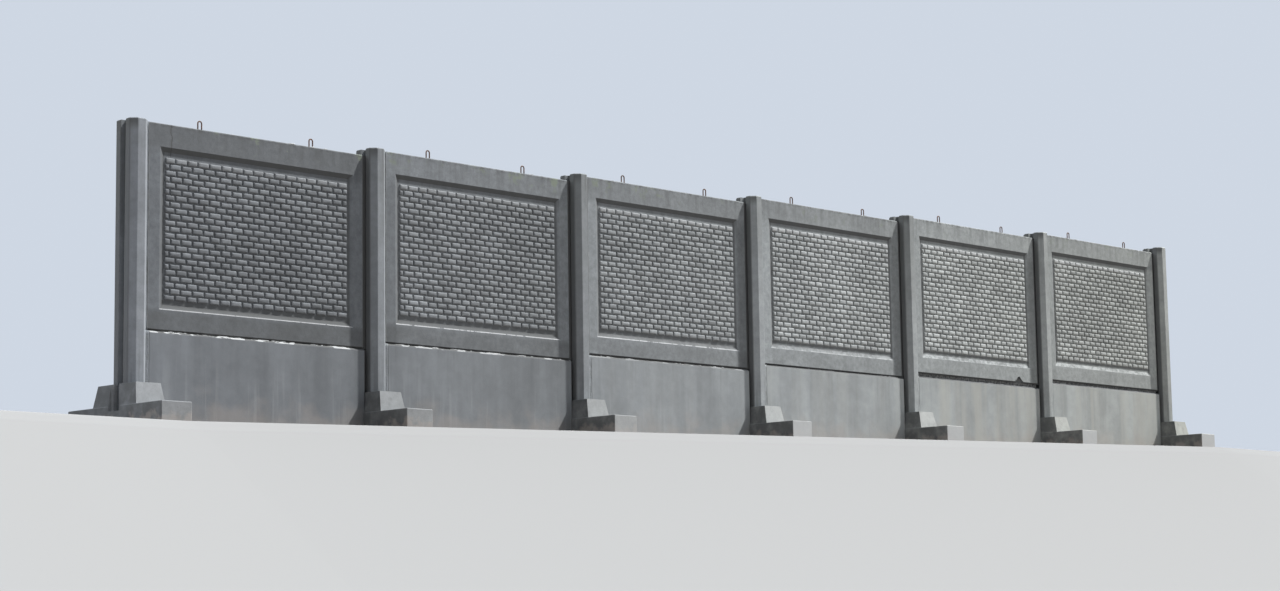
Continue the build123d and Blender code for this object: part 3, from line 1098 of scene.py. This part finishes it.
def floor_material():
    """Pale to the camera and duller in bounced light, fading into the backdrop far off."""
    graph = Graph("floor")
    rays = graph.node("ShaderNodeLightPath").outputs
    seen = graph.math("MAXIMUM", rays["Is Camera Ray"], rays["Is Glossy Ray"])
    near = graph.node("ShaderNodeBsdfDiffuse", {"Color": graph.mix(seen, FLOOR_BOUNCE, FLOOR_SEEN)})
    far = graph.node("ShaderNodeEmission", {"Color": (*BACKDROP, 1.0)})
    along = graph.fit(graph.math("ABSOLUTE", graph.x), *FADE_ALONG)
    across = graph.fit(graph.math("ABSOLUTE", graph.y), *FADE_ACROSS)
    fade = graph.math("MULTIPLY", graph.math("MAXIMUM", along, across), seen)
    both = graph.node("ShaderNodeMixShader", {0: fade, 1: near.outputs[0], 2: far.outputs[0]})
    graph.feed(graph.tree.nodes["Material Output"].inputs["Surface"], both.outputs[0])
    return graph.material


def make_floor():
    """A pale floor that climbs with the wall and falls away in front of it as a plain bank."""
    crest = cad_low.y - CREST_GAP
    bank = [(crest - out, -down) for out, down in BANK]
    profile = [(FLOOR_REACH, 0), *bank, (-FLOOR_REACH, bank[-1][1])]
    climb = STEP * BAYS
    stations = [(-FLOOR_REACH, 0), (RUN_START, 0), (-RUN_START, climb), (FLOOR_REACH, climb)]
    vertices = [(x, y, z + level) for x, level in stations for y, z in profile]
    mesh = make_mesh("floor", vertices, grid_faces(0, len(stations), len(profile)))
    mesh.materials.append(floor_material())
    floor = add_object("floor", mesh)


def sky_level(tree, side, cosines, levels):
    """Strength of the sky by how near a direction is to a side, from one level to another."""
    aim = tree.nodes.new("ShaderNodeVectorMath")
    aim.operation = "DOT_PRODUCT"
    aim.inputs[1].default_value = Vector(side).normalized()
    tree.links.new(tree.nodes.new("ShaderNodeTexCoord").outputs["Generated"], aim.inputs[0])
    level = tree.nodes.new("ShaderNodeMapRange")
    for key, value in zip(("From Min", "From Max", "To Min", "To Max"), (*cosines, *levels)):
        level.inputs[key].default_value = value
    tree.links.new(aim.outputs["Value"], level.inputs["Value"])
    return level.outputs[0]


def make_world():
    """A sky that is brighter beside the sun, with a soft light behind the wall, and a plain backdrop."""
    world = bpy.data.worlds.new("sky")
    world.use_nodes = True
    tree = world.node_tree
    sky = tree.nodes["Background"]
    sky.inputs["Color"].default_value = (*SKY_COLOUR, 1.0)
    both = tree.nodes.new("ShaderNodeMath")
    tree.links.new(sky_level(tree, SKY_BRIGHT_SIDE, SKY_COSINES, SKY_LEVELS), both.inputs[0])
    tree.links.new(sky_level(tree, REAR_SIDE, REAR_COSINES, REAR_LEVELS), both.inputs[1])
    tree.links.new(both.outputs[0], sky.inputs["Strength"])
    backdrop = tree.nodes.new("ShaderNodeBackground")
    backdrop.inputs["Color"].default_value = (*BACKDROP, 1.0)
    rays = tree.nodes.new("ShaderNodeLightPath").outputs
    mix = tree.nodes.new("ShaderNodeMixShader")
    for key, socket in enumerate((rays["Is Camera Ray"], sky.outputs[0], backdrop.outputs[0])):
        tree.links.new(socket, mix.inputs[key])
    tree.links.new(mix.outputs[0], tree.nodes["World Output"].inputs["Surface"])
    bpy.context.scene.world = world


def make_sun():
    """A soft sun that shines from its azimuth and elevation."""
    lamp = bpy.data.lights.new("sun", "SUN")
    lamp.energy = SUN_STRENGTH
    lamp.angle = SUN_SOFTNESS
    sun = add_object("sun", lamp)
    sun.rotation_mode = "QUATERNION"
    sun.rotation_quaternion = (-direction(SUN_AZIMUTH, SUN_ELEVATION)).to_track_quat("-Z", "Y")


def make_camera():
    """The photograph's camera."""
    lens = bpy.data.cameras.new("camera")
    lens.lens = CAMERA_LENS
    lens.clip_end = CAMERA_REACH
    camera = add_object("camera", lens)
    camera.location = CAMERA_PLACE
    camera.rotation_mode = "QUATERNION"
    level = (CAMERA_AIM - CAMERA_PLACE).to_track_quat("-Z", "Y")
    camera.rotation_quaternion = level @ Quaternion((0, 0, 1), CAMERA_ROLL)
    bpy.context.scene.camera = camera


make_camera()
make_world()
make_sun()
make_floor()
bpy.context.scene.view_settings.view_transform = "Standard"

paint_frame()
brick_finish = brick_concrete()
crumb_finish = crumb_mortar()
joint_finish = joint_mortar()
for bay in range(BAYS):
    add_piece(relief_mesh(bay), brick_finish)
    add_piece(crumbs_mesh(bay), crumb_finish)
    add_piece(joint_mesh(bay), joint_finish)
